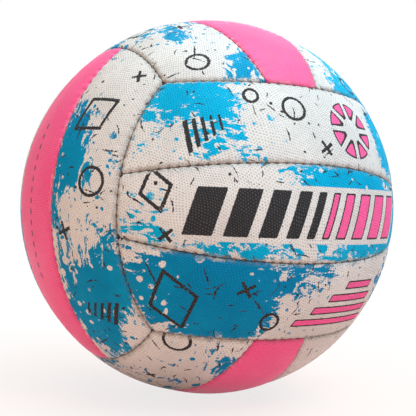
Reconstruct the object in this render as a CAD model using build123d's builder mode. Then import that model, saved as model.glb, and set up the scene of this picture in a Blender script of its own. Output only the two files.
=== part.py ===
from build123d import *

import os
from itertools import pairwise
from math import acos, asin, atan, atan2, cos, degrees, pi, radians, sin, sqrt, tan

# A size 5 netball: six faces of three sewn panels each, over a bladder with a needle valve.
# The origin is the ball's centre. The front face looks along -Y, and the valve along +Y.
# On each face the panels run side by side as strips, and the strips of faces that meet are square
# to each other, so that the ends of three strips are sewn to the long side of one.

# Driving dimensions, in millimetres and degrees

ball_girth = 700.0  # around the inflated ball
row_seam_angle = 13.2  # from the middle of a face to the seams beside its centre panel
face_seam_lean = 6.9  # lean of the seams round a face from being parallel to its strips

seam_gap = 0.8  # between the turned-in edges of two panels, with the thread in it
edge_round = 2.4  # rounding of a panel's edge where it turns in at a seam
corner_extra = 0.6  # a panel's corners are rounder than its edges by this much
cover_thickness = 1.3
hem_thickness = 1.4  # the turned-in edge
hem_margin = 0.9  # hem left below the thread
glue_line = 0.05
lining_thickness = 0.9  # layers of cloth behind each cover panel
lining_clearance = 0.15  # round a lining, inside the hem

thread_clearance = 0.1  # between a thread and the hems beside it
thread_end_gap = 0.8  # left at each end of a thread, where seams meet

bladder_clearance = 0.2  # between the hems and the bladder
bladder_thickness = 0.6

needle_hole_diameter = 2.2
needle_hole_depth = 12.0
needle_funnel = 0.7  # lead-in at the mouth of the needle hole
plug_wall = 1.1  # rubber round the needle hole
plug_tip = 2.6  # rubber below the needle hole, closed but for a slit
plug_slit = 0.2
slit_share = 0.8  # the slit's width, as a share of the needle hole's
plug_head_thickness = 1.0
plug_recess = 0.4  # from the ball's surface down to the plug's head
plug_clearance = 0.05  # between the plug and the valve body
neck_wall = 1.1
neck_clearance = 0.25  # round the neck, in the holes of cover and lining
barrel_wall = 2.4
barrel_extra = 1.5  # barrel left below the plug's tip
flange_width = 6.5  # valve flange beyond the barrel
patch_width = 11.0  # inner patch beyond the barrel
patch_thickness = 0.8
patch_clearance = 0.2  # between the bladder and the inner patch

# Radii and depths that follow from them

ball_radius = ball_girth / (2 * pi)
corner_round = edge_round + corner_extra
tray_round = max(corner_round - hem_thickness, corner_extra)
lining_depth = cover_thickness + glue_line + lining_thickness
thread_radius = seam_gap / 2 - thread_clearance
thread_depth = edge_round + thread_radius
hem_depth = max(thread_depth + thread_radius, lining_depth) + hem_margin
bladder_radius = ball_radius - hem_depth - bladder_clearance
hem_inset = seam_gap / 2 + hem_thickness

# Seams: each lies on a plane or cone with its point at the ball's centre, so it is a circle on the
# ball. The seams round a face pass through the eight points where three faces meet.

lean = radians(face_seam_lean)
row_angle = radians(row_seam_angle)
face_cone = acos((cos(lean) - sin(lean)) / sqrt(3))
row_cone = pi / 2
wall_reach = 60  # half the angle that a seam's wall spans, past its ends at the corners
rough_front = 0.45  # a side panel lies this share of the radius or more in front of the centre
rough_top = 0.75  # and below this share of the radius



def upper_seam(angle):
    """The frame of a seam along the strips: z is the axis of its circle, and x points to its middle."""
    return Plane((0, 0, 0), x_dir=(0, -cos(angle), sin(angle)), z_dir=(0, sin(angle), cos(angle)))


row_seam = upper_seam(row_angle)
side_seam = upper_seam(lean)
end_seam = Plane((0, 0, 0), x_dir=(-cos(lean), -sin(lean), 0), z_dir=(sin(lean), -cos(lean), 0))
half_turn = Plane((0, 0, 0), x_dir=(-1, 0, 0), z_dir=(0, 0, -1))


def turned(plane):
    """The same seam on the other side of its face, half a turn about the middle of the face."""
    return Plane(half_turn.location * plane.location)


# Angles along a seam, from its middle: where a face seam meets a row seam and ends at a corner,
# and where a row seam ends.

row_rise = tan(row_angle) * sin(lean)
row_reach = tan(row_angle) * cos(lean) / tan(face_cone)
junction_angle = degrees(atan(row_rise) + asin(row_reach / sqrt(1 + row_rise**2)))
corner_angle = degrees(atan2(1, cos(lean) + sin(lean)))
row_forward = cos(row_angle) * cos(lean)
row_span = acos(cos(face_cone) / sqrt(row_forward**2 + sin(lean) ** 2))
row_end_angle = degrees(row_span - atan2(sin(lean), row_forward))

# Panels, made for the front face. The centre panel lies between two row seams, and the side panel
# between the upper row seam and the face's upper seam.


def seam_wall(seam, inset):
    """A band of the cone through a face seam, moved along its axis to lie the inset from the seam."""
    point = seam.z_dir * (inset / sin(face_cone))
    axis = Axis(point, seam.z_dir)
    with BuildLine(Plane(point, x_dir=seam.x_dir, z_dir=-seam.y_dir)) as ray:
        PolarLine((0, 0), 2 * ball_radius, 90 - degrees(face_cone))
    first = ray.edge().trim(0.4, 0.65).rotate(axis, -wall_reach)
    return Face.revolve(first, 2 * wall_reach, axis)


def panel_block(row, radius, inner_radius, inset, rounding):
    """The part of a ball's shell inside one panel's seams, set in from them, with round corners."""
    walls = [seam_wall(end_seam, inset), seam_wall(turned(end_seam), inset)]
    with BuildPart() as shell:
        Sphere(radius)
        Sphere(inner_radius, mode=Mode.SUBTRACT)
        if row == "centre":
            split(bisect_by=row_seam.offset(-inset), keep=Keep.BOTTOM)
            split(bisect_by=turned(row_seam).offset(-inset), keep=Keep.BOTTOM)
            middle = Vector(0, -1, 0)
        else:
            split(bisect_by=Plane.XZ.offset(rough_front * ball_radius), keep=Keep.TOP)
            split(bisect_by=Plane.XY.offset(rough_top * ball_radius), keep=Keep.BOTTOM)
            split(bisect_by=row_seam.offset(inset), keep=Keep.TOP)
            walls.insert(0, seam_wall(side_seam, -inset))
            middle = Vector(0, -cos(2 * row_angle), sin(2 * row_angle))
    block = shell.part
    for wall in walls:
        pieces = block.split(wall, keep=Keep.ALL).solids()
        block = pieces.filter_by(lambda piece: piece.is_inside(middle * (radius + inner_radius) / 2))[0]
    with BuildPart() as panel:
        add(block)
        corners = panel.edges().filter_by(lambda edge: abs((edge @ 0).length - (edge @ 1).length) > 0.1)
        fillet(corners, rounding)
    return panel.part


def cover_panel(row):
    """A cover panel: a tray with a rounded rim, its edges turned in at the seams."""
    blank = panel_block(row, ball_radius, ball_radius - hem_depth, seam_gap / 2, corner_round)
    tray = panel_block(row, ball_radius - cover_thickness, bladder_radius, hem_inset, tray_round)
    with BuildPart() as cover:
        add(blank)
        skin = cover.faces().filter_by(GeomType.SPHERE).sort_by(SortBy.AREA)[-1]
        fillet(skin.edges(), edge_round)
        add(tray, mode=Mode.SUBTRACT)
    return cover.part


def lining_panel(row):
    """The cloth glued behind a cover panel, inside its turned-in edge."""
    outer_radius = ball_radius - cover_thickness - glue_line
    inset = hem_inset + lining_clearance
    return panel_block(row, outer_radius, ball_radius - lining_depth, inset, tray_round)


def seam_thread(seam, cone, first, last):
    """The thread in a seam between two of its junctions, at the bottom of the groove."""
    circle_radius = (ball_radius - thread_depth) * sin(cone)
    margin = degrees((seam_gap / 2 + thread_end_gap) / circle_radius)
    with BuildPart() as thread:
        with BuildSketch(Plane.XZ):
            with Locations((circle_radius, (ball_radius - thread_depth) * cos(cone))):
                Circle(thread_radius)
        revolve(axis=Axis.Z, revolution_arc=last - first - 2 * margin)
    return thread.part.rotate(Axis.Z, first + margin).moved(seam.location)


# Valve, on the +Y axis. Heights are from the ball's centre.

stem_radius = needle_hole_diameter / 2 + plug_wall
bore_radius = stem_radius + plug_clearance
neck_radius = bore_radius + neck_wall
barrel_radius = bore_radius + barrel_wall
head_top = ball_radius - plug_recess
head_bottom = head_top - plug_head_thickness
needle_bottom = head_top - needle_hole_depth
plug_bottom = needle_bottom - plug_tip
barrel_bottom = plug_bottom - barrel_extra
flange_top = ball_radius - lining_depth - glue_line
flange_bottom = bladder_radius + glue_line
patch_top = bladder_radius - bladder_thickness - patch_clearance
from_axis = (Align.MIN, Align.MIN)


def column(radius, bottom, top, mode=Mode.ADD):
    """A round column on the valve's axis, as half of its section."""
    with Locations((0, bottom)):
        Rectangle(radius, top - bottom, align=from_axis, mode=mode)


with BuildPart() as bladder:
    with BuildSketch():
        Circle(bladder_radius)
        Circle(bladder_radius - bladder_thickness, mode=Mode.SUBTRACT)
        column(bladder_radius, -bladder_radius, bladder_radius, Mode.INTERSECT)
        column(barrel_radius + glue_line, 0, bladder_radius, Mode.SUBTRACT)
    revolve(axis=Axis.Y)

with BuildPart() as valve_body:
    with BuildSketch():
        Circle(flange_top)
        Circle(flange_bottom, mode=Mode.SUBTRACT)
        column(barrel_radius + flange_width, 0, ball_radius, Mode.INTERSECT)
        column(barrel_radius, barrel_bottom, flange_bottom)
        column(neck_radius, flange_bottom, head_bottom - plug_clearance)
        column(bore_radius, barrel_bottom, ball_radius, Mode.SUBTRACT)
    revolve(axis=Axis.Y)

with BuildPart() as valve_patch:
    with BuildSketch():
        Circle(patch_top)
        Circle(patch_top - patch_thickness, mode=Mode.SUBTRACT)
        column(barrel_radius + patch_width, 0, ball_radius, Mode.INTERSECT)
        column(barrel_radius + glue_line, 0, ball_radius, Mode.SUBTRACT)
    revolve(axis=Axis.Y)

with BuildPart() as valve_plug:
    with BuildSketch():
        column(stem_radius, plug_bottom, head_top)
        column(neck_radius, head_bottom, head_top)
        column(needle_hole_diameter / 2, needle_bottom, head_top, Mode.SUBTRACT)
    revolve(axis=Axis.Y)
    mouth = valve_plug.edges().filter_by(GeomType.CIRCLE).sort_by(Axis.Y).group_by(Axis.Y)[-1]
    chamfer(mouth.sort_by(SortBy.RADIUS)[0], needle_funnel)
    with Locations((0, plug_bottom, 0)):
        Box(plug_slit, 2 * plug_tip + stem_radius, slit_share * needle_hole_diameter, mode=Mode.SUBTRACT)


def valve_holed(panel):
    """The panel on the +Y axis, with the hole that the valve comes through."""
    with BuildPart() as holed:
        add(panel)
        with Locations(Plane((0, ball_radius, 0), z_dir=(0, 1, 0))):
            Cylinder(neck_radius + neck_clearance, 4 * hem_depth, mode=Mode.SUBTRACT)
    return holed.part


# Every piece is made once, on the front face, and turned to its place on the ball.
# For each face: the way its strips run, the way they are stacked, the names of the rows beside the
# centre row, and the names of its strips' two ends.

faces = {
    "front": ((1, 0, 0), (0, 0, 1), ("upper", "lower"), ("left", "right")),
    "back": ((-1, 0, 0), (0, 0, 1), ("upper", "lower"), ("right", "left")),
    "left": ((0, 0, 1), (0, 1, 0), ("back", "front"), ("bottom", "top")),
    "right": ((0, 0, 1), (0, -1, 0), ("front", "back"), ("bottom", "top")),
    "top": ((0, 1, 0), (-1, 0, 0), ("left", "right"), ("front", "back")),
    "bottom": ((0, 1, 0), (1, 0, 0), ("right", "left"), ("front", "back")),
}

covers = {row: cover_panel(row) for row in ("centre", "side")}
linings = {row: lining_panel(row) for row in ("centre", "side")}
row_thread = seam_thread(row_seam, row_cone, -row_end_angle, row_end_angle)
end_threads = [
    seam_thread(end_seam, face_cone, first, last)
    for first, last in pairwise((-corner_angle, -junction_angle, junction_angle, corner_angle))
]
turn_over = half_turn.location

os.makedirs("parts", exist_ok=True)


def export(name, *solids):
    """Writes one named piece, or a group of like pieces."""
    piece = solids[0] if len(solids) == 1 else Compound(children=list(solids))
    piece.label = name
    export_step(piece, f"parts/{name}.step")


for face, (run, stack, rows, ends) in faces.items():
    place = Plane((0, 0, 0), x_dir=run, z_dir=stack).location
    turned_place = place * turn_over
    strips = (("centre", "centre", place), (rows[0], "side", place), (rows[1], "side", turned_place))
    for row, kind, location in strips:
        cover = covers[kind].moved(location)
        lining = linings[kind].moved(location)
        if (face, row) == ("back", "centre"):
            cover = valve_holed(cover)
            lining = valve_holed(lining)
        export(f"{face}_{row}_panel", cover)
        export(f"{face}_{row}_lining", lining)
    export(f"{face}_row_stitching", row_thread.moved(place), row_thread.moved(turned_place))
    export(f"{face}_{ends[0]}_stitching", *[thread.moved(place) for thread in end_threads])
    export(f"{face}_{ends[1]}_stitching", *[thread.moved(turned_place) for thread in end_threads])

export("bladder", bladder.part)
export("valve_body", valve_body.part)
export("valve_patch", valve_patch.part)
export("valve_plug", valve_plug.part)
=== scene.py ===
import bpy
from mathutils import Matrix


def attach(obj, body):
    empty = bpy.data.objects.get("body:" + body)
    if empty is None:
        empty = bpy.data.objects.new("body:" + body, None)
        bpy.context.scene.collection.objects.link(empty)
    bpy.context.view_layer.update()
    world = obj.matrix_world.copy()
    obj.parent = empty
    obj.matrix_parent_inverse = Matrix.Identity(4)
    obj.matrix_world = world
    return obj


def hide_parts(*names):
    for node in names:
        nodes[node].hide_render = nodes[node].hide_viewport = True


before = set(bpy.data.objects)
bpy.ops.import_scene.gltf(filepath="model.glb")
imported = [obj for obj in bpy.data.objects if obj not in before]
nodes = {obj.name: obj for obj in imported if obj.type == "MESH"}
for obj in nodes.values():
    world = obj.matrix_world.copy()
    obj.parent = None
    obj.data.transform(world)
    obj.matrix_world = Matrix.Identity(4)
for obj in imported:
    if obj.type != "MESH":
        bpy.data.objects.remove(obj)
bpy.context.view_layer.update()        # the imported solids, as a fixed frame

import math
import bpy
import numpy as np
from mathutils import Matrix

scene = bpy.context.scene
print("netball: frame loaded,", len(nodes), "nodes")

mm = 0.001  # shapes are worked out in millimetres, and Blender takes metres
ball = {
    "girth": 700.0,    # mm
    "rowAngle": 13.2,  # degrees from a face's middle to the seams beside its centre panel
    "seamLean": 6.9,   # degrees that the seams round a face lean
}
ballRadius = ball["girth"] / (2 * math.pi)
rowAngle, seamLean = math.radians(ball["rowAngle"]), math.radians(ball["seamLean"])
rowSlope, sideSlope = math.tan(rowAngle), math.tan(seamLean)
sideRise = (1 - sideSlope) / math.sqrt(3)  # the seams round a face pass through the cube's corners

# Each face: the way its strips run, the way they are stacked, the rows beside the centre one, the two ends
faces = {
    "front": ((1, 0, 0), (0, 0, 1), ("upper", "lower"), ("left", "right")),
    "back": ((-1, 0, 0), (0, 0, 1), ("upper", "lower"), ("right", "left")),
    "left": ((0, 0, 1), (0, 1, 0), ("back", "front"), ("bottom", "top")),
    "right": ((0, 0, 1), (0, -1, 0), ("front", "back"), ("bottom", "top")),
    "top": ((0, 1, 0), (-1, 0, 0), ("left", "right"), ("front", "back")),
    "bottom": ((0, 1, 0), (1, 0, 0), ("right", "left"), ("front", "back")),
}
pinkPanels = [f"{face}_centre_panel" for face in ("left", "right", "top", "bottom")]


def turnTo(xWay, zWay):
    # a turn whose columns are where X, Y and Z go
    x, z = np.array(xWay, float), np.array(zWay, float)
    return np.column_stack([x, np.cross(z, x), z])


halfTurn = np.diag([-1.0, 1.0, -1.0])  # half a turn about the middle of the front face


# Panels, in mm
panelEdge = {
    "stripLength": 196.0,  # about, to space the grid lines
    "stripWidth": 50.0,
    "alongStep": 0.55,     # between grid lines away from the edges
    "acrossStep": 1.0,
    "edgeSteps": (0, 0.09, 0.22, 0.4, 0.62, 0.9, 1.25, 1.7, 2.25, 2.9, 3.7),  # grid lines in from an edge
    "endAngles": (0.3, 1.4),  # radians between which every row ends
    "halvings": 50,
    "gap": 0.12,           # between two panels at the seam
    "rollWidth": 2.5,      # over which the edge rolls in
    "rollDepth": 1.15,
    "hemDepth": 3.6,
    "cornerRound": 1.7,
    "puff": 0.4,           # that the panel sinks towards its seams
    "puffWidth": 9.0,
    "stitchPitch": 5.0,
    "stitchNotch": 0.5,    # that a stitch draws the edge back
    "notchWidth": 0.9,
    "stitchPull": 0.36,    # that a stitch pulls the edge in
    "pullReach": 2.2,
    "wrinkle": 0.06,
    "wrinkleWaves": (17.0, 9.3, 6.1),
    "wrinklePhase": 6.28,
    "wrinkleLean": 0.5,
    "wrinkleFade": 6.0,
    "wrinkleReach": 7.0,
    "wrinkleSeed": 40,
    "edgeFade": 0.5,       # from the edge, where pulls and wrinkles start
    "leastDepth": 0.02,
    "wall": 1.2,
    "pinkDirtAndShade": 0.3,      # share of the seam dirt and painted shade that shows beside a pink panel
    "dirtAndShadeBlend": 4.0,     # over which it changes at a corner
    "seedStart": 1.3,      # a panel's own place in the ink patterns
    "seedStep": 3.7,
}


def spacedAcross(length, step):
    # positions from 0 to 1 over a length in mm, close together near both edges
    close = np.array(panelEdge["edgeSteps"])
    inner = np.linspace(close[-1], length - close[-1], int((length - 2 * close[-1]) / step) + 1)
    return np.concatenate([close[:-1], inner, (length - close[:-1])[::-1]]) / length


def fromSeam(points, normal, offset, middle):
    # mm from a seam, the circle points . normal = offset on the unit ball, and mm along it from its middle
    size = math.hypot(*normal)
    normal, middle = np.array(normal) / size, np.array(middle) / math.hypot(*middle)
    lift = math.asin(offset / size)
    turn = np.arctan2(points @ np.cross(normal, middle), points @ middle)
    distance = ballRadius * (np.arcsin(np.clip(points @ normal, -1, 1)) - lift)
    return distance, turn * ballRadius * math.cos(lift)


def stripGrid(kind):
    # A row v is the circle z = slope |y| + rise, blended from the lower seam to the upper.
    # A column u is that share of the row's half angle, up to the seam |y| = sideSlope |x| + sideRise.
    (lowSlope, lowRise), (highSlope, highRise) = {
        "centre": ((-rowSlope, 0.0), (rowSlope, 0.0)),
        "side": ((rowSlope, 0.0), (sideSlope, sideRise)),
    }[kind]
    v = spacedAcross(panelEdge["stripWidth"], panelEdge["acrossStep"])[:, None]
    u = spacedAcross(panelEdge["stripLength"], panelEdge["alongStep"])[None, :] * 2 - 1
    slope, rise = lowSlope + (highSlope - lowSlope) * v, lowRise + (highRise - lowRise) * v

    def ringRadius(angle):
        k = slope * np.cos(angle)
        return (np.sqrt(1 + k * k - rise * rise) - k * rise) / (1 + k * k)

    low, high = (np.full_like(v, angle) for angle in panelEdge["endAngles"])
    for _ in range(panelEdge["halvings"]):  # halve the span that holds the end seam
        half = (low + high) / 2
        inside = ringRadius(half) * (np.cos(half) - sideSlope * np.sin(half)) > sideRise
        low, high = np.where(inside, half, low), np.where(inside, high, half)
    angle = u * low
    ring = ringRadius(angle)
    points = np.stack([ring * np.sin(angle), -ring * np.cos(angle), slope * np.cos(angle) * ring + rise], -1)

    lower = fromSeam(points, (0, lowSlope, 1), lowRise, (0, -1, lowSlope))
    upper = fromSeam(points, (0, highSlope, 1), highRise, (0, -1, highSlope))
    left = fromSeam(points, (sideSlope, -1, 0), sideRise, (-1, -sideSlope, 0))
    right = fromSeam(points, (-sideSlope, -1, 0), sideRise, (1, -sideSlope, 0))
    middleRow = np.arcsin(points[len(v) // 2, u.shape[1] // 2, 2])
    return {
        "points": points,
        "seams": [lower, (-upper[0], upper[1]), left, right],
        "along": ballRadius * math.cos(middleRow) * angle,
        "across": ballRadius * (np.arcsin(points[..., 2]) - middleRow),
    }


def stitchBeat(run):
    # 1 at each stitch along a seam, falling off as a bell on both sides
    pitch = panelEdge["stitchPitch"]
    off = (run + pitch / 2) % pitch - pitch / 2
    return np.exp(-(off / panelEdge["notchWidth"]) ** 2)


def roundedInset(distances):
    # mm inside a panel's outline, whose corners are round: the least of the four corners' distances
    r = panelEdge["cornerRound"]
    corners = []
    for p in distances[:2]:
        for q in distances[2:]:
            bend = r - np.hypot(np.maximum(r - p, 0), np.maximum(r - q, 0))
            corners.append(np.where((p < r) & (q < r), bend, np.minimum(p, q)))
    return np.minimum.reduce(corners)


def panelDepth(grid, seed):
    # mm below the ball: a broad sag, a rolled edge (quarter ellipse), the hem's wall, pulls and wrinkles
    e = panelEdge
    beats = [stitchBeat(run) for _, run in grid["seams"]]
    notched = [distance - e["stitchNotch"] * beat for (distance, _), beat in zip(grid["seams"], beats)]
    inset = roundedInset(notched) - e["gap"] / 2
    near = np.maximum(inset, 0)
    t = np.clip(1 - inset / e["rollWidth"], 0, 1)
    depth = e["rollDepth"] * (1 - np.sqrt(1 - t * t)) + e["puff"] * np.exp(-near / e["puffWidth"])
    depth += (e["hemDepth"] - e["rollDepth"] - e["puff"]) * np.clip(-inset / (e["gap"] / 2), 0, 1)
    start = np.clip(inset / e["edgeFade"], 0, 1)
    rng = np.random.default_rng(seed)
    for (distance, run), beat in zip(grid["seams"], beats):
        away = np.maximum(distance, 0)
        depth += e["stitchPull"] * beat * np.exp(-away / e["pullReach"]) * start
        fade = np.exp(-near / e["wrinkleFade"]) * np.exp(-away / e["wrinkleReach"]) * start
        for wave in e["wrinkleWaves"]:
            phase = rng.uniform(0, e["wrinklePhase"])
            lean = rng.uniform(-e["wrinkleLean"], e["wrinkleLean"])
            depth += e["wrinkle"] * fade * np.sin(2 * np.pi * (run + lean * distance) / wave + phase)
    return np.clip(depth, e["leastDepth"], e["hemDepth"]), inset


def seamDirtAndShadeShare(grid, kind, besideCentre):
    # share of dirt and painted shade at the nearest seam: besideCentre at the seams beside the centre panel,
    # 1 at the others
    distances = [distance for distance, _ in grid["seams"]]
    beside = 2 if kind == "centre" else 1
    lead = np.minimum.reduce(distances[beside:]) - np.minimum.reduce(distances[:beside])
    return 1 - (1 - besideCentre) * np.clip(lead / panelEdge["dirtAndShadeBlend"] + 0.5, 0, 1)


# Printed marks: signed distances in mm on a panel's own flat plane, below 0 inside a mark
farAway = 50.0  # stands for no mark
looseMarks = {
    "ringStroke": 1.7, "crossStroke": 1.8, "diamondStroke": 1.9, "diamondLean": (0.8, 0.6),
    "hatchCount": 5, "hatchPitch": 4.4, "hatchWidth": 2.6, "hatchThin": 1.6, "hatchShort": 0.6,
    "hatchSlant": 0.25,
}


def barMark(a, c, x, y, width, height, slant=0.0):
    # the larger of the ways past the slanted sides and past the ends
    return np.maximum(np.abs(a - x - slant * (c - y)) - width / 2, np.abs(c - y) - height / 2)


def ringMark(p, q, size):
    return np.abs(np.hypot(p, q) - size) - looseMarks["ringStroke"] / 2


def crossMark(p, q, size):
    stroke = looseMarks["crossStroke"]
    return np.minimum(barMark(p, q, 0, 0, size, stroke), barMark(p, q, 0, 0, stroke, size))


def diamondMark(p, q, size):
    steep, level = looseMarks["diamondLean"]
    return np.abs(np.abs(p) * steep + np.abs(q) * level - size / 2) - looseMarks["diamondStroke"] / 2


def hatchMark(p, q, size):
    # parallel strokes, each thinner and shorter than the last
    k, bars = looseMarks, []
    for i in range(k["hatchCount"]):
        share = i / k["hatchCount"]
        x = (i - k["hatchCount"] / 2) * k["hatchPitch"]
        width, length = k["hatchWidth"] - k["hatchThin"] * share, size * (1 - k["hatchShort"] * share)
        bars.append(barMark(p, q, x, 0, width, length, k["hatchSlant"]))
    return np.minimum.reduce(bars)


markShapes = {"ring": ringMark, "cross": crossMark, "diamond": diamondMark, "hatch": hatchMark}


def looseMark(a, c, kind, x, y, size, turn):
    # a mark's shape about its own middle, turned
    p, q = a - x, c - y
    across, up = p * math.cos(turn) + q * math.sin(turn), q * math.cos(turn) - p * math.sin(turn)
    return markShapes[kind](across, up, size)


speedBars = {  # the band of slanted bars on the front centre panel: middle and width of each, mm
    "charcoal": [(-57, 15), (-38, 12.5), (-21.5, 10), (-8, 7.5), (2.5, 5)],
    "pink": [(12, 5), (22.5, 7.5), (36, 10), (52, 12.5), (71, 15)],
    "height": 24.0, "slant": 0.30, "lift": -0.5, "keyline": 0.9, "halo": 2.7,
}
petalRing = {
    "x": 33.0, "y": -1.0, "inner": 6.5, "outer": 16.5, "petals": 8, "split": 2.6,
    "keyline": 0.9, "halo": 2.4,
}
dashRows = {  # middle and length of each row, mm
    "rows": [(44, 10.0, 26), (41, 2.6, 40), (38, -4.8, 54), (34, -12.2, 66)],
    "height": 4.8, "slant": 0.35, "keyline": 0.8, "halo": 2.2,
}
pinkDashes = {"count": 15, "pitch": 6.0, "lift": -3.0, "width": 3.2, "height": 1.7, "slant": 0.3}
inkPlaces = {  # heavier (+) and lighter (-) places of the blue ink: middle, width in mm and weight
    "front_upper_panel": [
        (-62, 14, 24, 0.75), (-24, -14, 14, 0.45), (82, -4, 22, 1.3), (5, 16, 26, -0.8), (33, 0, 22, -1.0)],
    "front_centre_panel": [
        (-88, -6, 15, 0.7), (20, 12, 22, 0.75), (74, -4, 30, 1.0), (-34, -18, 16, 0.55), (-50, 6, 24, -0.6)],
    "front_lower_panel": [
        (-58, 10, 30, 1.0), (-30, -16, 20, 0.5), (78, 12, 18, 0.75), (10, 18, 18, 0.6), (36, -4, 26, -0.9)],
    "top_left_panel": [
        (-66, 10, 24, -0.7), (-44, 0, 11, 0.9), (-84, -16, 12, 1.0), (10, 0, 30, 0.5), (60, -8, 22, 0.6)],
    "top_right_panel": [(-78, -8, 20, 1.2), (-46, 12, 12, 0.6), (-30, -8, 20, -0.6), (40, 4, 24, 0.8)],
    "left_front_panel": [
        (28, 8, 20, 0.7), (-32, -4, 26, 0.8), (-72, 8, 18, 0.5), (66, -6, 22, -0.7), (-4, 0, 14, -0.6)],
}
paintedShadeBlueDepths = {  # how deep the blue is, from 0 to 1; the deeper blue of the lower and left panels is painted shade
    "front_upper_panel": 0.15, "front_centre_panel": 0.2, "front_lower_panel": 0.85,
    "left_front_panel": 0.7, "bottom_left_panel": 0.9,
}
motifPlaces = {  # loose marks: kind, middle, size and turn
    "front_upper_panel": [
        ("hatch", -52, -6, 17, 0.5), ("ring", -6, 8, 6.5, 0), ("cross", 10, -13, 9, 0.6),
        ("cross", 64, 12, 8, 0.2), ("ring", -30, 14, 4, 0)],
    "front_centre_panel": [
        ("diamond", -82, 9, 13, 0.3), ("cross", -76, -13, 9, 0.7), ("ring", 84, 12, 4, 0)],
    "front_lower_panel": [
        ("diamond", -66, 0, 20, 0.25), ("cross", -30, 8, 10, 0.5),
        ("ring", -14, -11, 5, 0), ("hatch", 82, -4, 12, 2.4)],
    "left_front_panel": [
        ("diamond", 48, 4, 17, 0.8), ("ring", 12, -8, 7.5, 0), ("cross", -14, 10, 10, 0.3),
        ("hatch", -58, 2, 15, 1.2), ("cross", 76, -6, 9, 0.6)],
}
scatter = {  # ranges that ink places and loose marks are drawn from on the other panels, mm
    "places": 5, "heavyPlaces": 3, "placeX": (-90, 90), "placeY": (-20, 20), "placeWidth": (16, 30),
    "heavy": (0.5, 0.9), "light": (-0.9, -0.5), "placeFlat": 1.6, "depth": (0.1, 0.8),
    "kinds": ("ring", "cross", "diamond", "hatch", "cross"), "pitch": 36,
    "markX": (-10, 10), "markY": (-11, 11),
    "sizes": {"ring": 6, "cross": 9, "diamond": 15, "hatch": 15}, "grow": (0.8, 1.2), "turn": (0, 1.5),
    "valveClear": 18,
}


def unionOf(marks, like):
    return np.minimum.reduce([np.full_like(like, farAway), *marks])


def panelMarks(name, a, c):
    # charcoal, pink, bare-white and loose marks of one panel, and where its blue ink is heavy
    charcoal, pink, bare, loose = [], [], [], []
    if name == "front_centre_panel":
        k = speedBars
        bars = {ink: [barMark(a, c, x, k["lift"], width, k["height"], k["slant"]) for x, width in k[ink]]
                for ink in ("charcoal", "pink")}
        charcoal += bars["charcoal"] + bars["pink"]
        pink += [bar + k["keyline"] for bar in bars["pink"]]
        bare.append(unionOf(charcoal, a) - k["halo"])
    if name in ("front_upper_panel", "back_lower_panel"):
        k = petalRing
        disc, turn = np.hypot(a - k["x"], c - k["y"]), np.arctan2(c - k["y"], a - k["x"])
        band = np.abs(disc - (k["inner"] + k["outer"]) / 2) - (k["outer"] - k["inner"]) / 2
        split = k["split"] / 2 - disc * np.abs(np.sin(turn * k["petals"] / 2)) * 2 / k["petals"]
        petals = np.maximum(band, split)
        charcoal.append(petals)
        pink.append(petals + k["keyline"])
        bare.append(disc - k["outer"] - k["halo"])
    if name in ("front_lower_panel", "back_upper_panel"):
        k = dashRows
        bars = [barMark(a, c, x, y, length, k["height"], k["slant"]) for x, y, length in k["rows"]]
        charcoal += bars
        pink += [bar + k["keyline"] for bar in bars]
        bare.append(unionOf(bars, a) - k["halo"])
    if name in ("left_centre_panel", "right_centre_panel"):
        k = pinkDashes
        middles = [(i - (k["count"] - 1) / 2) * k["pitch"] for i in range(k["count"])]
        charcoal += [barMark(a, c, x, k["lift"], k["width"], k["height"], k["slant"]) for x in middles]

    k, places, motifs = scatter, [], []
    rng = np.random.default_rng(sum(ord(letter) * place for place, letter in enumerate(name, 3)))
    for i in range(k["places"]):
        weight = "heavy" if i < k["heavyPlaces"] else "light"
        places.append([rng.uniform(*k[key]) for key in ("placeX", "placeY", "placeWidth", weight)])
    for i, kind in enumerate(k["kinds"]):
        x, y, grow, turn = [rng.uniform(*k[key]) for key in ("markX", "markY", "grow", "turn")]
        middle = (i - (len(k["kinds"]) - 1) / 2) * k["pitch"]
        motifs.append((kind, middle + x, y, k["sizes"][kind] * grow, turn))
    depth = paintedShadeBlueDepths.get(name, rng.uniform(*k["depth"]))
    if name == "back_centre_panel":
        motifs = [motif for motif in motifs if abs(motif[1]) > k["valveClear"]]
    if name not in pinkPanels:
        loose += [looseMark(a, c, *motif) for motif in motifPlaces.get(name, motifs)]
    blue = np.zeros_like(a)
    for x, y, width, weight in inkPlaces.get(name, places):
        blue += weight * np.exp(-((a - x) ** 2 + k["placeFlat"] * (c - y) ** 2) / (2 * width * width))
    inks = {"charcoalMm": charcoal, "pinkMm": pink, "bareMm": bare, "looseMm": loose}
    masks = {key: unionOf(marks, a) for key, marks in inks.items()}
    return {**masks, "bluePlace": blue, "blueDepthAndShade": np.full_like(a, depth)}


uvUnit = 100.0  # mm to one unit of a panel's UV map
valveHole = {  # mm
    "radius": 3.55, "cut": 8.0, "rollWidth": 1.2, "rollDepth": 0.4, "rings": 12, "spread": 0.7,
}


def smoothMesh(name, verts, faceList):
    # a mesh of points in mm
    mesh = bpy.data.meshes.new(name)
    mesh.from_pydata((verts * mm).tolist(), [], faceList)
    mesh.polygons.foreach_set("use_smooth", np.ones(len(mesh.polygons), bool))
    mesh.update()
    return mesh


def gridMesh(name, verts, quads, grids, uv):
    # a mesh with a float attribute for each named grid, and a UV map
    mesh = smoothMesh(name, verts, quads.tolist())
    for key, values in grids.items():
        mesh.attributes.new(key, "FLOAT", "POINT").data.foreach_set("value", values.astype(np.float32))
    layer = mesh.uv_layers.new(name="panelUv")
    layer.data.foreach_set("uv", (uv[quads.ravel()] / uvUnit).astype(np.float32).ravel())
    return mesh


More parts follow.
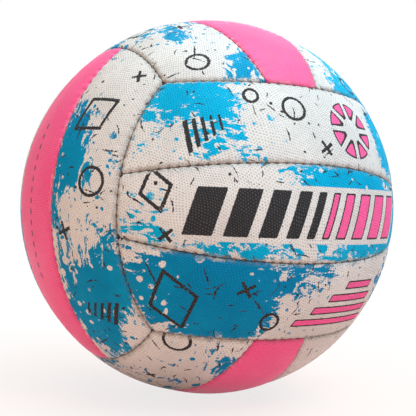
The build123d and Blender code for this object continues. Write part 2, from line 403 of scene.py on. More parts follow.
def cutValveHole(verts, quads, grids, uv):
    # On the front face: quads within the cut go, and a fan of rings joins its rim to the round hole.
    # Ring k lies on the sphere at a radius between the cut and the hole, and rolls in at the hole.
    k = valveHole
    axisDistance = np.hypot(verts[:, 0], verts[:, 2])
    gone = (axisDistance < k["cut"])[quads].any(1)
    rim = np.intersect1d(quads[gone], quads[~gone])
    rim = rim[np.argsort(np.arctan2(verts[rim, 2], verts[rim, 0]))]
    quads = quads[~gone]
    share = (np.linspace(0, 1, k["rings"] + 1)[1:, None]) ** k["spread"]
    radius = axisDistance[rim] * (1 - share) + k["radius"] * share
    angle = np.arctan2(verts[rim, 2], verts[rim, 0])[None, :]
    t = np.clip(1 - (radius - k["radius"]) / k["rollWidth"], 0, 1)
    sphere = np.linalg.norm(verts[rim], axis=1)[None, :] - k["rollDepth"] * (1 - np.sqrt(1 - t * t))
    x, z = radius * np.cos(angle), radius * np.sin(angle)
    rings = np.stack([x, -np.sqrt(sphere ** 2 - radius ** 2), z], -1).reshape(-1, 3)
    index = np.concatenate([rim, len(verts) + np.arange(len(rings))]).reshape(k["rings"] + 1, -1)
    nextOne = np.roll(index, -1, axis=1)
    fan = np.stack([index[:-1], nextOne[:-1], nextOne[1:], index[1:]], -1).reshape(-1, 4)
    along, across = np.arctan2(rings[:, 0], -rings[:, 1]), np.arcsin(rings[:, 2] / ballRadius)
    uv = np.concatenate([uv, ballRadius * np.stack([along, across], -1)])
    verts, quads = np.concatenate([verts, rings]), np.concatenate([quads, fan])
    grids = {key: np.concatenate([values, np.tile(values[rim], k["rings"])])
             for key, values in grids.items()}
    used = np.zeros(len(verts), bool)
    used[quads.ravel()] = True
    grids = {key: values[used] for key, values in grids.items()}
    return verts[used], (np.cumsum(used) - 1)[quads], grids, uv[used]


def addPiece(name, mesh, body, material, replaced):
    piece = bpy.data.objects.new(name, mesh)
    scene.collection.objects.link(piece)
    mesh.materials.append(material)
    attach(piece, body)
    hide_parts(*replaced)
    return piece


# Shader helpers. A span in the looks below is a ramp's low and high, and its ends if not 0 and 1.
halves = (0.5, 0.5, 0.5)


def newTree(name, place, values, outputs):
    # a shader group with one vector input, and number inputs and outputs
    group = bpy.data.node_groups.new(name, "ShaderNodeTree")
    group.interface.new_socket(place, in_out="INPUT", socket_type="NodeSocketVector")
    for title in values:
        group.interface.new_socket(title, in_out="INPUT", socket_type="NodeSocketFloat")
    for title in outputs:
        group.interface.new_socket(title, in_out="OUTPUT", socket_type="NodeSocketFloat")
    return group, group.nodes.new("NodeGroupInput").outputs, group.nodes.new("NodeGroupOutput").inputs


def put(tree, kind, inputs=None, **settings):
    # one node: settings first, then each input is a socket to link or a value
    node = tree.nodes.new(kind)
    for key, value in settings.items():
        setattr(node, key, value)
    for key, value in (inputs or {}).items():
        if isinstance(value, bpy.types.NodeSocket):
            tree.links.new(value, node.inputs[key])
        else:
            node.inputs[key].default_value = value
    return node


def maths(tree, operation, a, b=0.0, c=0.0):
    return put(tree, "ShaderNodeMath", {0: a, 1: b, 2: c}, operation=operation).outputs[0]


def less(tree, a, b):
    return maths(tree, "SUBTRACT", a, b)


def times(tree, product, *others):
    for value in others:
        product = maths(tree, "MULTIPLY", product, value)
    return product


def largest(tree, best, *others):
    for value in others:
        best = maths(tree, "MAXIMUM", best, value)
    return best


def vectors(tree, operation, a, b=(0, 0, 0)):
    node = put(tree, "ShaderNodeVectorMath", {0: a, 1: b}, operation=operation)
    return node.outputs["Value" if operation == "LENGTH" else "Vector"]


def ramp(tree, value, low, high, start=0.0, end=1.0):
    # smooth step of a value from low to high
    inputs = {"Value": value, "From Min": low, "From Max": high, "To Min": start, "To Max": end}
    return put(tree, "ShaderNodeMapRange", inputs, interpolation_type="SMOOTHSTEP").outputs[0]


def noise(tree, at, scale, detail=2.0, roughness=0.5, distortion=0.0, output="Fac"):
    node = put(tree, "ShaderNodeTexNoise", {
        "Vector": at, "Scale": scale, "Detail": detail, "Roughness": roughness, "Distortion": distortion})
    return node.outputs[output]


def shaken(tree, at, size, scale, detail):
    # a flat vector that wanders by up to half of a size each way
    centred = vectors(tree, "SUBTRACT", noise(tree, at, scale, detail, output="Color"), halves)
    return vectors(tree, "MULTIPLY", centred, (size, size, 0))


def mapped(tree, at, turn, scale=(1, 1, 1), shift=(0, 0, 0)):
    inputs = {"Vector": at, "Rotation": (0, 0, turn), "Scale": scale, "Location": shift}
    return put(tree, "ShaderNodeMapping", inputs).outputs[0]


def mixColor(tree, factor, a, b):
    # the Mix node's colour sockets are inputs 6 and 7 and output 2
    return put(tree, "ShaderNodeMix", {0: factor, 6: a, 7: b}, data_type="RGBA").outputs[2]


def useGroup(tree, group, **inputs):
    return put(tree, "ShaderNodeGroup", inputs, node_tree=group).outputs


def seeded(tree, given):
    # the panel's own place in a pattern, so that no two panels look alike
    shift = put(tree, "ShaderNodeCombineXYZ", {2: given["Seed"]}).outputs[0]
    return vectors(tree, "ADD", given["Panel"], shift)


# Grip: soft pits on a triangular lattice, whose rows bend, a little uneven. Lengths are in UV units.
gripLook = {
    "turn": 0.28, "wobble": 0.01, "wobbleScale": 30.0, "bend": 0.14, "bendScale": 2.4, "pitFloor": 0.25,
    "unevenScale": 45.0, "uneven": (0.3, 0.62, 0.55, 1.0),
}


def gripPitsGroup():
    group, given, out = newTree("gripPits", "Panel", ["Seed", "Pitch", "Size"], ["Pit"])
    k, at, pitch, tall = gripLook, seeded(group, given), given["Pitch"], math.sqrt(3)
    cell = put(group, "ShaderNodeCombineXYZ", {0: pitch, 1: times(group, pitch, tall), 2: 1.0}).outputs[0]
    wobble = shaken(group, at, k["wobble"], k["wobbleScale"], detail=2.0)
    bend = shaken(group, at, k["bend"], k["bendScale"], detail=1.0)
    turned = mapped(group, given["Panel"], k["turn"])
    moved = vectors(group, "ADD", turned, vectors(group, "ADD", wobble, bend))
    flat = vectors(group, "DIVIDE", moved, cell)
    distances = []
    for shift in ((0.0, 0.0, 0.0), (0.5, 0.5, 0.0)):  # the lattice is two grids of oblongs
        part = vectors(group, "FRACTION", vectors(group, "ADD", flat, shift))
        fromPit = vectors(group, "SUBTRACT", part, (0.5, 0.5, 0.0))
        distances.append(vectors(group, "LENGTH", vectors(group, "MULTIPLY", fromPit, (1.0, tall, 0))))
    size = given["Size"]
    pit = ramp(group, maths(group, "MINIMUM", *distances), size, times(group, size, k["pitFloor"]))
    uneven = ramp(group, noise(group, at, k["unevenScale"], detail=3.0), *k["uneven"])
    group.links.new(times(group, pit, uneven), out["Pit"])
    return group


# Drops: round specks of many sizes, most of them small
dropLook = {"bend": 0.03, "bendScale": 18.0, "power": 3.0, "edge": (0.0, -0.04)}


def dropsGroup():
    group, given, out = newTree("drops", "Panel", ["Scale", "Most"], ["Drop"])
    k, at = dropLook, given["Panel"]
    cloud = noise(group, at, k["bendScale"], output="Color")
    bend = vectors(group, "MULTIPLY", cloud, (k["bend"], k["bend"], 0))
    spots = {"Vector": vectors(group, "ADD", at, bend), "Scale": given["Scale"]}
    cells = put(group, "ShaderNodeTexVoronoi", spots).outputs
    pick = put(group, "ShaderNodeSeparateColor", {0: cells["Color"]}).outputs[0]
    size = times(group, maths(group, "POWER", pick, k["power"]), given["Most"])
    group.links.new(ramp(group, less(group, cells["Distance"], size), *k["edge"]), out["Drop"])
    return group


drops = dropsGroup()


def dropsOf(tree, at, scale, most):
    return useGroup(tree, drops, Panel=at, Scale=scale, Most=most)["Drop"]


# Blue ink, brushed and flung on: ragged streaks, drops beyond them and bare drops within
brushLook = {
    "slant": 0.6, "stretch": (1.0, 2.3, 1.0), "level": 1.45, "edge": (-0.006, 0.006),
    "clouds": 0.7, "cloudScale": 2.6, "streaks": 0.75, "streakScale": 8.0,
    "rags": 0.34, "ragScale": 30.0, "place": 0.36,
    # scale and largest size
    "smallDrops": (26.0, 0.42), "largeDrops": (11.0, 0.36), "bareDrops": (17.0, 0.44),
    "flung": (-0.24, -0.12), "bare": (0.30, 0.12), "bareShift": (3.1, 1.7, 0),
}


def brushedInkGroup():
    group, given, out = newTree("brushedInk", "Panel", ["Seed", "Place", "Amount"], ["Ink"])
    k, at = brushLook, seeded(group, given)
    slanted = mapped(group, at, k["slant"], k["stretch"])
    streaks = noise(group, slanted, k["streakScale"], detail=9.0, roughness=0.66, distortion=0.9)
    rags = noise(group, at, k["ragScale"], detail=6.0, roughness=0.72)
    total = times(group, noise(group, at, k["cloudScale"]), k["clouds"])
    for value, share in ((streaks, k["streaks"]), (rags, k["rags"]), (given["Place"], k["place"])):
        total = maths(group, "MULTIPLY_ADD", value, share, total)
    over = maths(group, "ADD", less(group, total, k["level"]), given["Amount"])
    flung = largest(group, dropsOf(group, at, *k["smallDrops"]), dropsOf(group, at, *k["largeDrops"]))
    flung = times(group, flung, ramp(group, over, *k["flung"]))
    bare = dropsOf(group, vectors(group, "ADD", at, k["bareShift"]), *k["bareDrops"])
    bare = times(group, bare, ramp(group, over, *k["bare"]))
    ink = largest(group, ramp(group, over, *k["edge"]), flung)
    group.links.new(times(group, ink, less(group, 1.0, bare)), out["Ink"])
    return group


# Strokes: one curved, tapered scratch in some cells of a grid, each at its own angle
strokeLook = {
    "stray": 0.34, "shake": 0.05, "shakeScale": 45.0, "turns": 12.6,
    "reach": 0.24, "leastReach": 0.08, "bend": 0.16,
    "roughScale": 70.0, "rough": (0.3, 0.7, 0.35, 1.5), "edge": (0.0, 0.25),
}


def strokesGroup():
    group, given, out = newTree("strokes", "Panel", ["Scale", "Share", "Width"], ["Stroke"])
    k, at, scale, width = strokeLook, given["Panel"], given["Scale"], given["Width"]
    spread = put(group, "ShaderNodeCombineXYZ", {0: scale, 1: scale, 2: 1.0}).outputs[0]
    spread = vectors(group, "MULTIPLY", at, spread)
    corner = {"Vector": vectors(group, "FLOOR", spread)}
    cell = put(group, "ShaderNodeTexWhiteNoise", corner, noise_dimensions="3D").outputs
    pick = put(group, "ShaderNodeSeparateColor", {0: cell["Color"]}).outputs
    stray = vectors(group, "SUBTRACT", cell["Color"], halves)
    stray = vectors(group, "MULTIPLY", stray, (k["stray"], k["stray"], 0))
    local = vectors(group, "SUBTRACT", vectors(group, "FRACTION", spread), halves)
    local = vectors(group, "SUBTRACT", local, stray)
    local = vectors(group, "ADD", local, shaken(group, at, k["shake"], k["shakeScale"], detail=3.0))
    turn = {"Vector": local, "Angle": times(group, pick[2], k["turns"])}
    turned = put(group, "ShaderNodeVectorRotate", turn, rotation_type="Z_AXIS").outputs[0]
    xyz = put(group, "ShaderNodeSeparateXYZ", {0: turned}).outputs
    reach = maths(group, "MULTIPLY_ADD", pick[1], k["reach"], k["leastReach"])
    share = maths(group, "DIVIDE", xyz[0], reach)
    square = times(group, share, share)
    bend = times(group, less(group, pick[0], 0.5), k["bend"], square)
    off = maths(group, "ABSOLUTE", less(group, xyz[1], bend))
    rough = ramp(group, noise(group, at, k["roughScale"]), *k["rough"])
    wide = times(group, width, less(group, 1.0, square), rough)
    stroke = ramp(group, maths(group, "DIVIDE", less(group, wide, off), width), *k["edge"])
    chosen = maths(group, "LESS_THAN", cell["Value"], given["Share"])
    group.links.new(times(group, stroke, chosen), out["Stroke"])
    return group


# Charcoal flecks: scratches of four sizes and a scatter of specks
fleckLook = {
    "strokes": [  # turn, scale, share of the cells, width
        (0.3, 3.6, 0.62, 0.020), (1.1, 6.0, 0.60, 0.030), (2.0, 10.0, 0.5, 0.045), (0.8, 4.8, 0.35, 0.016),
    ],
    "shift": (9, 4), "specks": (19.0, 0.22), "speckShift": (7.7, 2.3, 0),
}


def fleckInkGroup(strokes):
    group, given, out = newTree("fleckInk", "Panel", ["Seed"], ["Ink"])
    k, at = fleckLook, seeded(group, given)
    marks = []
    for turn, scale, share, width in k["strokes"]:
        turned = mapped(group, at, turn, shift=(turn * k["shift"][0], turn * k["shift"][1], 0))
        marks.append(useGroup(group, strokes, Panel=turned, Scale=scale, Share=share, Width=width)["Stroke"])
    specks = dropsOf(group, vectors(group, "ADD", at, k["speckShift"]), *k["specks"])
    group.links.new(largest(group, *marks, specks), out["Ink"])
    return group


# Seam wear and painted light: ink rubbed thin along the rolled edge, on the pink panels partly a painted
# highlight, and dirt with painted shade over the rolled edge and down in the seam, by mm from the edge
wearAndPaintedLightLook = {
    "reach": (3.0, 0.5), "rubAndHighlightScale": 420.0, "rubAndHighlightMore": 0.2, "rubAndHighlight": (0.62, 0.72),
    "patchScale": 45.0, "patch": (0.42, 0.6), "dirtAndShadeMottleScale": 210.0, "dirtAndShadeMottle": (0.34, 0.66, 0.25, 1.0),
    # dirt with painted shade: soft over the rolled edge, deep down in the seam
    "softDirtAndShade": (3.0, 0.0, 0.0, 0.48), "deepDirtAndShade": (0.16, -0.03, 0.0, 0.8),
}


def seamWearAndPaintedLightGroup():
    group, given, out = newTree("seamWearAndPaintedLight", "At", ["Inset"], ["Rubbed", "SeamDirtAndShade"])
    k, at, inset = wearAndPaintedLightLook, given["At"], given["Inset"]
    reach = ramp(group, inset, *k["reach"])
    rubAndHighlight = noise(group, at, k["rubAndHighlightScale"], detail=5.0, roughness=0.7)
    rubAndHighlight = ramp(group, maths(group, "MULTIPLY_ADD", reach, k["rubAndHighlightMore"], rubAndHighlight), *k["rubAndHighlight"])
    patchy = ramp(group, noise(group, at, k["patchScale"], detail=3.0), *k["patch"])
    group.links.new(times(group, rubAndHighlight, reach, patchy), out["Rubbed"])
    dirtAndShadeMottle = ramp(group, noise(group, at, k["dirtAndShadeMottleScale"], detail=5.0, roughness=0.65), *k["dirtAndShadeMottle"])
    soft = times(group, ramp(group, inset, *k["softDirtAndShade"]), dirtAndShadeMottle)
    group.links.new(largest(group, soft, ramp(group, inset, *k["deepDirtAndShade"])), out["SeamDirtAndShade"])
    return group


gripPits, brushedInk, seamWearAndPaintedLight = gripPitsGroup(), brushedInkGroup(), seamWearAndPaintedLightGroup()
fleckInk = fleckInkGroup(strokesGroup())


def newMaterial(name):
    material = bpy.data.materials.new(name)
    material.use_nodes = True
    tree = material.node_tree
    tree.nodes.clear()
    shader = tree.nodes.new("ShaderNodeBsdfPrincipled")
    tree.links.new(shader.outputs[0], tree.nodes.new("ShaderNodeOutputMaterial").inputs[0])
    return material, tree, shader


def attributeOf(tree, name):
    return put(tree, "ShaderNodeAttribute", attribute_name=name).outputs["Fac"]


def objectPlace(tree):
    return put(tree, "ShaderNodeTexCoord").outputs["Object"]


def panelPlace(tree):
    return put(tree, "ShaderNodeUVMap", uv_map="panelUv").outputs[0]


def bumped(tree, shader, height, strength, distance):
    bump = put(tree, "ShaderNodeBump", {"Strength": strength, "Distance": distance, "Height": height})
    tree.links.new(bump.outputs[0], shader.inputs["Normal"])


inkEdge = {  # mm
    "soft": 0.12, "rag": 0.5, "ragScale": 90.0, "looseRag": 2.4, "wornScale": 16.0, "worn": (0.36, 0.40),
}
coverInk = {
    "white": (0.80, 0.795, 0.785, 1), "whiteDull": (0.72, 0.71, 0.695, 1),
    "blue": (0.0, 0.47, 0.78, 1), "blueDeep": (0.0, 0.24, 0.49, 1),
    "charcoal": (0.026, 0.026, 0.029, 1), "pink": (1.0, 0.14, 0.39, 1),
    # pitShade: painted shade with dirt in the pits
    "pitShade": (0.01, 0.01, 0.012, 1), "pitInInk": (0.085, 0.085, 0.09, 1),
    # worn ink, and the brown of dirt with painted shade in the seams
    "rubbedAndHighlight": (0.66, 0.645, 0.62, 1), "dirtAndShade": (0.10, 0.075, 0.062, 1),
    "pitch": 0.0154, "pitSize": 0.43, "pitDark": 0.335, "blueAmount": 0.42, "blueUneven": 1.2,
    "toneScale": 24.0, "dull": (0.38, 0.66), "rough": (0.3, 0.7, 0.52, 0.68), "specular": 0.06,
    "grain": 0.25, "grainScale": 900.0, "bump": (0.8, 0.0003),  # strength, and depth in m
}
pinkCover = {
    "pink": (1.0, 0.112, 0.335, 1), "pinkDeep": (0.96, 0.095, 0.30, 1),
    "pit": (0.58, 0.03, 0.12, 1), "dash": (0.07, 0.012, 0.02, 1),
    # the paler pink of the rubbed edge is partly a painted highlight; the brown is dirt with painted shade
    # in the seams
    "rubbedAndHighlight": (0.95, 0.24, 0.38, 1), "dirtAndShade": coverInk["dirtAndShade"],
    "pitch": 0.0145, "pitSize": 0.42, "pitDark": 0.7,
    "toneScale": 20.0, "deep": (0.35, 0.68), "rough": (0.3, 0.7, 0.45, 0.56), "specular": 0.36,
    "grain": 0.5, "grainScale": 1100.0, "bump": (0.4, 0.0002),
}


def strayEdge(tree):
    # mm that the edge of an ink strays
    rag = noise(tree, panelPlace(tree), inkEdge["ragScale"], detail=3.0)
    return times(tree, less(tree, rag, 0.5), inkEdge["rag"])


def inkMask(tree, name, stray):
    distance = maths(tree, "ADD", attributeOf(tree, name), stray)
    return ramp(tree, distance, inkEdge["soft"], -inkEdge["soft"])


def pitsOf(tree, k, seed):
    pits = useGroup(tree, gripPits, Panel=panelPlace(tree), Seed=seed, Pitch=k["pitch"], Size=k["pitSize"])
    return pits["Pit"]


def coverFinish(tree, shader, k, color, tone, pit):
    # wear with a painted highlight on the pink edges, dirt with painted shade at the seams, roughness, and
    # the pits' relief in a fine grain
    at = objectPlace(tree)
    wearAndPaintedLight = useGroup(tree, seamWearAndPaintedLight, At=at, Inset=attributeOf(tree, "insetMm"))
    # ink rubbed thin at the seams, on the pink panels partly a painted highlight
    color = mixColor(tree, wearAndPaintedLight["Rubbed"], color, k["rubbedAndHighlight"])
    # dirt with painted shade at the seams
    color = mixColor(tree, times(tree, wearAndPaintedLight["SeamDirtAndShade"], attributeOf(tree, "dirtAndShadeShare")), color, k["dirtAndShade"])
    tree.links.new(color, shader.inputs["Base Color"])
    tree.links.new(ramp(tree, tone, *k["rough"]), shader.inputs["Roughness"])
    grain = times(tree, noise(tree, at, k["grainScale"]), k["grain"])
    bumped(tree, shader, less(tree, grain, pit), *k["bump"])
    shader.inputs["Specular IOR Level"].default_value = k["specular"]


def printedCover():
    material, tree, shader = newMaterial("printedCover")
    k, uv, seed = coverInk, panelPlace(tree), attributeOf(tree, "panelSeed")
    pit = pitsOf(tree, k, seed)
    place = attributeOf(tree, "bluePlace")
    blue = useGroup(tree, brushedInk, Panel=uv, Seed=seed, Place=place, Amount=k["blueAmount"])["Ink"]
    stray = strayEdge(tree)
    bare, charcoal, pink = [inkMask(tree, name, stray) for name in ("bareMm", "charcoalMm", "pinkMm")]
    loose = inkMask(tree, "looseMm", times(tree, stray, inkEdge["looseRag"]))
    worn = noise(tree, uv, inkEdge["wornScale"], detail=7.0, roughness=0.7)
    loose = times(tree, loose, ramp(tree, worn, *inkEdge["worn"]))
    fleck = largest(tree, useGroup(tree, fleckInk, Panel=uv, Seed=seed)["Ink"], loose)
    tone = noise(tree, objectPlace(tree), k["toneScale"], detail=5.0, roughness=0.6)
    white = mixColor(tree, ramp(tree, tone, *k["dull"]), k["white"], k["whiteDull"])
    depth = attributeOf(tree, "blueDepthAndShade")
    # the blue deepens with its random tone and the panel's depth, which on the lower and left front panels
    # is painted shade
    heavy = maths(tree, "MULTIPLY_ADD", less(tree, tone, 0.5), k["blueUneven"], depth)
    blueInk = mixColor(tree, ramp(tree, heavy, 0.0, 1.0), k["blue"], k["blueDeep"])
    color = white
    layers = [
        (blue, blueInk), (fleck, k["charcoal"]), (bare, white), (charcoal, k["charcoal"]), (pink, k["pink"])]
    for mask, ink in layers:
        color = mixColor(tree, mask, color, ink)
    # pits look darker in white and colour, a painted shade with dirt in the pits, and paler in the charcoal
    dark = times(tree, largest(tree, charcoal, fleck), less(tree, 1.0, pink))
    pitColor = mixColor(tree, dark, mixColor(tree, k["pitDark"], color, k["pitShade"]), k["pitInInk"])
    coverFinish(tree, shader, k, mixColor(tree, pit, color, pitColor), tone, pit)
    return material


def pinkPanel():
    material, tree, shader = newMaterial("pinkCover")
    k = pinkCover
    pit = pitsOf(tree, k, attributeOf(tree, "panelSeed"))
    tone = noise(tree, objectPlace(tree), k["toneScale"], detail=5.0, roughness=0.6)
    color = mixColor(tree, ramp(tree, tone, *k["deep"]), k["pink"], k["pinkDeep"])
    # darker pink in the pits is painted shade
    color = mixColor(tree, times(tree, pit, k["pitDark"]), color, k["pit"])
    color = mixColor(tree, inkMask(tree, "charcoalMm", strayEdge(tree)), color, k["dash"])
    coverFinish(tree, shader, k, color, tone, pit)
    return material


# Colours, clouds (scale, detail, raggedness), roughness, and the bump's fineness, strength and depth in m
mottledLooks = {
    "waxedThread": {
        "dark": (0.13, 0.085, 0.06, 1), "light": (0.36, 0.25, 0.18, 1), "clouds": (700.0, 3.0, 0.5),
        "rough": (0.5, 0.7), "finer": 1, "bump": (0.5, 0.0001)},
    "bladderRubber": {
        "dark": (0.018, 0.018, 0.019, 1), "light": (0.035, 0.034, 0.034, 1), "clouds": (60.0, 5.0, 0.6),
        "rough": (0.4, 0.6), "finer": 12, "bump": (0.4, 0.00005)},
    "valveRubber": {
        "dark": (0.02, 0.02, 0.021, 1), "light": (0.045, 0.044, 0.043, 1), "clouds": (240.0, 5.0, 0.6),
        "rough": (0.45, 0.62), "finer": 12, "bump": (0.4, 0.00004)},
}
cloudColor, cloudRough = (0.35, 0.65), (0.3, 0.7)  # spans of a cloud over which colour and roughness change


def mottled(name):
    material, tree, shader = newMaterial(name)
    k, at = mottledLooks[name], objectPlace(tree)
    cloud = noise(tree, at, *k["clouds"])
    color = mixColor(tree, ramp(tree, cloud, *cloudColor), k["dark"], k["light"])
    tree.links.new(color, shader.inputs["Base Color"])
    tree.links.new(ramp(tree, cloud, *cloudRough, *k["rough"]), shader.inputs["Roughness"])
    bumped(tree, shader, noise(tree, at, k["clouds"][0] * k["finer"], detail=3.0), *k["bump"])
    return material


liningLook = {
    "dark": (0.55, 0.52, 0.45, 1), "light": (0.80, 0.77, 0.70, 1), "rough": (0.95, 0.8),
    "bump": (0.5, 0.0002), "scale": 260.0, "distortion": 0.4, "lift": 0.5,
}


def wovenLining():
    material, tree, shader = newMaterial("wovenLining")
    k, weave = liningLook, None
    yarn = {"Vector": objectPlace(tree), "Scale": k["scale"], "Distortion": k["distortion"]}
    for direction in ("X", "Y", "Z"):
        wave = put(tree, "ShaderNodeTexWave", yarn, bands_direction=direction).outputs["Fac"]
        weave = wave if weave is None else times(tree, weave, maths(tree, "ADD", wave, k["lift"]))
    tree.links.new(mixColor(tree, weave, k["dark"], k["light"]), shader.inputs["Base Color"])
    tree.links.new(ramp(tree, weave, 0.0, 1.0, *k["rough"]), shader.inputs["Roughness"])
    bumped(tree, shader, weave, *k["bump"])
    return material


printed, pinkRubber, lining = printedCover(), pinkPanel(), wovenLining()
thread, bladderRubber, valveRubber = [mottled(name) for name in mottledLooks]
print("netball: materials made")


def makeCover(seed, face, row, kind, matrix, upright):
    # the strip's points on the unit ball, each at the ball's radius less the panel's depth there
    name, pieceName = f"{face}_{row}_panel", face + row.title() + "Cover"
    grid, pink = stripGrids[kind], name in pinkPanels
    depth, inset = panelDepth(grid, seed + panelEdge["wrinkleSeed"])
    besideCentre = panelEdge["pinkDirtAndShade"] if f"{face}_centre_panel" in pinkPanels else 1.0
    grids = {
        "insetMm": inset,
        "dirtAndShadeShare": seamDirtAndShadeShare(grid, kind, besideCentre),
        "panelSeed": np.full(inset.shape, seed * panelEdge["seedStep"] + panelEdge["seedStart"]),
        **panelMarks(name, grid["along"] * upright, grid["across"] * upright),
    }
    grids = {key: values.ravel() for key, values in grids.items()}
    verts = (grid["points"] * (ballRadius - depth)[..., None]).reshape(-1, 3)
    uv = np.stack([grid["along"], grid["across"]], -1).reshape(-1, 2)
    index = np.arange(inset.size).reshape(inset.shape)
    quads = np.stack([index[:-1, :-1], index[:-1, 1:], index[1:, 1:], index[1:, :-1]], -1).reshape(-1, 4)
    if name == "back_centre_panel":
        verts, quads, grids, uv = cutValveHole(verts, quads, grids, uv)
    piece = addPiece(pieceName, gridMesh(pieceName, verts @ matrix.T, quads, grids, uv), "ball",
                     pinkRubber if pink else printed, [name])
    wall = piece.modifiers.new("coverWall", "SOLIDIFY")
    wall.thickness, wall.offset, wall.use_even_offset = panelEdge["wall"] * mm, -1.0, False


stripGrids = {kind: stripGrid(kind) for kind in ("centre", "side")}
panels = []
for face, (run, stack, rows, _) in faces.items():
    turn = turnTo(run, stack)
    panels.append((face, "centre", "centre", turn, 1))
    panels.append((face, rows[0], "side", turn, 1))
    panels.append((face, rows[1], "side", turn @ halfTurn, -1))
for seed, panel in enumerate(panels):
    makeCover(seed, *panel)
print("netball: covers made")

# Stitching: one thread that crosses each seam at every stitch, and goes through the edges between
stitch = {  # mm
    "depth": 1.85, "dip": 0.9, "swing": 1.25, "radius": 0.42, "endGap": 1.6,
    "sides": 6, "stepsPerStitch": 10, "leastSteps": 8,
}


def stitchTube(seam, cone, low, high):
    # circle swept along the seam: the path swings across it as a sine and dips where it goes through an edge
    ring, pitch = ballRadius * math.sin(cone), panelEdge["stitchPitch"]
    first, last = low * ring + stitch["endGap"], high * ring - stitch["endGap"]
    steps = int((last - first) / pitch * stitch["stepsPerStitch"])
    run = np.linspace(first, last, max(stitch["leastSteps"], steps))
    swing = np.sin(np.pi * run / pitch)
    polar, angle = cone + stitch["swing"] * swing / ballRadius, run / ring
    depth = stitch["depth"] + stitch["dip"] * swing ** 2
    path = np.stack([np.sin(polar) * np.cos(angle), np.sin(polar) * np.sin(angle), np.cos(polar)], -1)
    path *= (ballRadius - depth)[:, None]
    forward = np.gradient(path, axis=0)
    forward /= np.linalg.norm(forward, axis=1, keepdims=True)
    across = np.cross(forward, path)
    across /= np.linalg.norm(across, axis=1, keepdims=True)
    outward = np.cross(across, forward)
    around = np.linspace(0, 2 * np.pi, stitch["sides"], endpoint=False)[None, :, None]
    circle = np.cos(around) * across[:, None] + np.sin(around) * outward[:, None]
    return (path[:, None] + stitch["radius"] * circle) @ seam.T


def tubeFaces(tube, start):
    # quads round a tube, and its two ends
    index = start + np.arange(tube.shape[0] * tube.shape[1]).reshape(tube.shape[:2])
    nextSide = np.roll(index, -1, axis=1)
    quads = np.stack([index[:-1], nextSide[:-1], nextSide[1:], index[1:]], -1).reshape(-1, 4)
    return quads[:, ::-1].tolist() + [index[0].tolist(), index[-1][::-1].tolist()]


def stitchMesh(name, tubes, matrix):
    points, faceList = [], []
    for tube in tubes:
        faceList += tubeFaces(tube, sum(len(part) for part in points))
        points.append(tube.reshape(-1, 3) @ matrix.T)
    return smoothMesh(name, np.concatenate(points), faceList)


faceCone = math.acos((math.cos(seamLean) - math.sin(seamLean)) / math.sqrt(3))
rowSeam = turnTo((0, -math.cos(rowAngle), math.sin(rowAngle)), (0, math.sin(rowAngle), math.cos(rowAngle)))
endSeam = turnTo((-math.cos(seamLean), -math.sin(seamLean), 0), (math.sin(seamLean), -math.cos(seamLean), 0))
# where a row seam meets the end seam, and where three faces meet, as angles along those seams
rowForward = math.cos(rowAngle) * math.cos(seamLean)
rowSpan = math.acos(math.cos(faceCone) / math.hypot(rowForward, math.sin(seamLean)))
rowSpan -= math.atan2(math.sin(seamLean), rowForward)
rise = rowSlope * math.sin(seamLean)
reach = rowSlope * math.cos(seamLean) / math.tan(faceCone)
junction = math.atan(rise) + math.asin(reach / math.hypot(1, rise))
corner = math.atan2(1, math.cos(seamLean) + math.sin(seamLean))
rowTube = stitchTube(rowSeam, math.pi / 2, -rowSpan, rowSpan)
endStops = (-corner, -junction, junction, corner)
endTubes = [stitchTube(endSeam, faceCone, low, high) for low, high in zip(endStops, endStops[1:])]
for face, (run, stack, _, ends) in faces.items():
    turn = turnTo(run, stack)
    rowTubes = [rowTube, rowTube @ halfTurn.T]
    threads = ("row", rowTubes, turn), (ends[0], endTubes, turn), (ends[1], endTubes, turn @ halfTurn)
    for part, tubes, matrix in threads:
        name = face + part.title() + "Thread"
        mesh = stitchMesh(name, tubes, matrix)
        addPiece(name, mesh, "ball", thread, [f"{face}_{part}_stitching"])
print("netball: stitching made")

# Solids that stay: give each its finish
for name, node in nodes.items():
    finish = None
    if name.endswith("_lining"):
        finish = lining
    elif name == "bladder":
        finish = bladderRubber
    elif name.startswith("valve"):
        finish = valveRubber
    if finish:
        node.data.materials.clear()
        node.data.materials.append(finish)

# Stage: pale floor, white surroundings, soft lamps and the camera. Lengths are in metres.
stage = {
    "floorGap": 0.0002, "floorSize": 6.0, "floorRough": 0.9, "dullScale": 3.0,
    "floor": (0.91, 0.63, 0.545, 1), "floorDull": (0.89, 0.61, 0.525, 1),
    "clear": (0.05, 0.30, 0.78, 1.0),  # from the middle outwards, how white the floor looks
    "surround": (0.05, 0.05, 0.05, 1), "white": (1, 1, 1, 1),
    "lamps": [  # name, place, size, watts, colour
        ("keyLamp", (0.25, -0.75, 1.05), 0.9, 14.0, (0.60, 0.85, 1.0)),
        ("topLamp", (0.1, -0.1, 1.25), 2.4, 23.5, (1.0, 0.955, 0.875)),
        ("fillLamp", (-1.1, -0.55, 0.1), 0.9, 4.6, (1.0, 0.68, 0.45)),
        ("backLamp", (0.62, 1.12, 0.25), 0.8, 8.0, (0.97, 0.98, 1.0)),
    ],
}
view = {
    "azimuth": -28.84, "elevation": 0.8, "roll": 2.62, "distance": 0.545,
    "lens": 77.42, "sensor": 36.0, "clipStart": 0.01,
    "picture": 416, "offset": (-1.1, -1.1),  # pixels that the ball lies right of and below the middle
}


def seenRay(tree):
    path = put(tree, "ShaderNodeLightPath").outputs
    return largest(tree, path["Is Camera Ray"], path["Is Glossy Ray"], path["Is Transmission Ray"])


def facingBall(place):
    # the turn of a lamp or camera that looks at the ball's middle
    back = np.array(place) / np.linalg.norm(place)
    side = np.cross((0, 0, 1), back)
    return turnTo(side / np.linalg.norm(side), back)


def addLooking(name, data, turn, place):
    holder = bpy.data.objects.new(name, data)
    holder.matrix_world = Matrix([[*turn[i], place[i]] for i in range(3)] + [[0, 0, 0, 1]])
    scene.collection.objects.link(holder)
    return holder


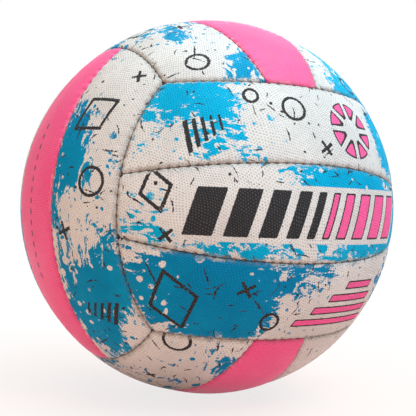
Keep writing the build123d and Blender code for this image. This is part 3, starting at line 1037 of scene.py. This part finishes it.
floor = bpy.data.objects.new("floor", bpy.data.meshes.new("floor"))
half, z = stage["floorSize"] / 2, -ballRadius * mm - stage["floorGap"]
corners = [(-half, -half, z), (half, -half, z), (half, half, z), (-half, half, z)]
floor.data.from_pydata(corners, [], [(0, 1, 2, 3)])
scene.collection.objects.link(floor)
floorMaterial, tree, shader = newMaterial("paleFloor")
at = objectPlace(tree)
floorColor = mixColor(tree, noise(tree, at, stage["dullScale"]), stage["floor"], stage["floorDull"])
tree.links.new(floorColor, shader.inputs["Base Color"])
shader.inputs["Roughness"].default_value = stage["floorRough"]
fromBall = vectors(tree, "LENGTH", vectors(tree, "MULTIPLY", at, (1, 1, 0)))
clear = times(tree, seenRay(tree), ramp(tree, fromBall, *stage["clear"]))
glow = put(tree, "ShaderNodeEmission", {"Color": stage["white"], "Strength": 1.0}).outputs[0]
above = put(tree, "ShaderNodeMixShader", {0: clear, 1: shader.outputs[0], 2: glow}).outputs[0]
# the floor is clear from below, so that the ball's underside shows
isBelow = put(tree, "ShaderNodeNewGeometry").outputs["Backfacing"]
below = put(tree, "ShaderNodeBsdfTransparent").outputs[0]
oneSided = put(tree, "ShaderNodeMixShader", {0: isBelow, 1: above, 2: below}).outputs[0]
tree.links.new(oneSided, tree.nodes["Material Output"].inputs[0])
floor.data.materials.append(floorMaterial)

world = bpy.data.worlds.new("whiteSurround")
scene.world = world
world.use_nodes = True
tree = world.node_tree
background = tree.nodes["Background"]
tree.links.new(mixColor(tree, seenRay(tree), stage["surround"], stage["white"]), background.inputs["Color"])
background.inputs["Strength"].default_value = 1.0

for name, place, size, watts, color in stage["lamps"]:
    lamp = bpy.data.lights.new(name, "AREA")
    lamp.shape, lamp.size, lamp.energy, lamp.color = "DISK", size, watts, color
    addLooking(name, lamp, facingBall(place), place)

azimuth, elevation, roll = [math.radians(view[key]) for key in ("azimuth", "elevation", "roll")]
level = math.cos(elevation)
back = np.array([math.sin(azimuth) * level, -math.cos(azimuth) * level, math.sin(elevation)])
rolled = np.array([[math.cos(roll), -math.sin(roll), 0], [math.sin(roll), math.cos(roll), 0], [0, 0, 1]])
camera = bpy.data.cameras.new("photoCamera")
camera.lens, camera.sensor_width, camera.clip_start = view["lens"], view["sensor"], view["clipStart"]
camera.shift_x, camera.shift_y = -view["offset"][0] / view["picture"], view["offset"][1] / view["picture"]
scene.camera = addLooking("photoCamera", camera, facingBall(back) @ rolled, back * view["distance"])
scene.view_settings.view_transform = "Standard"
print("netball: stage set")
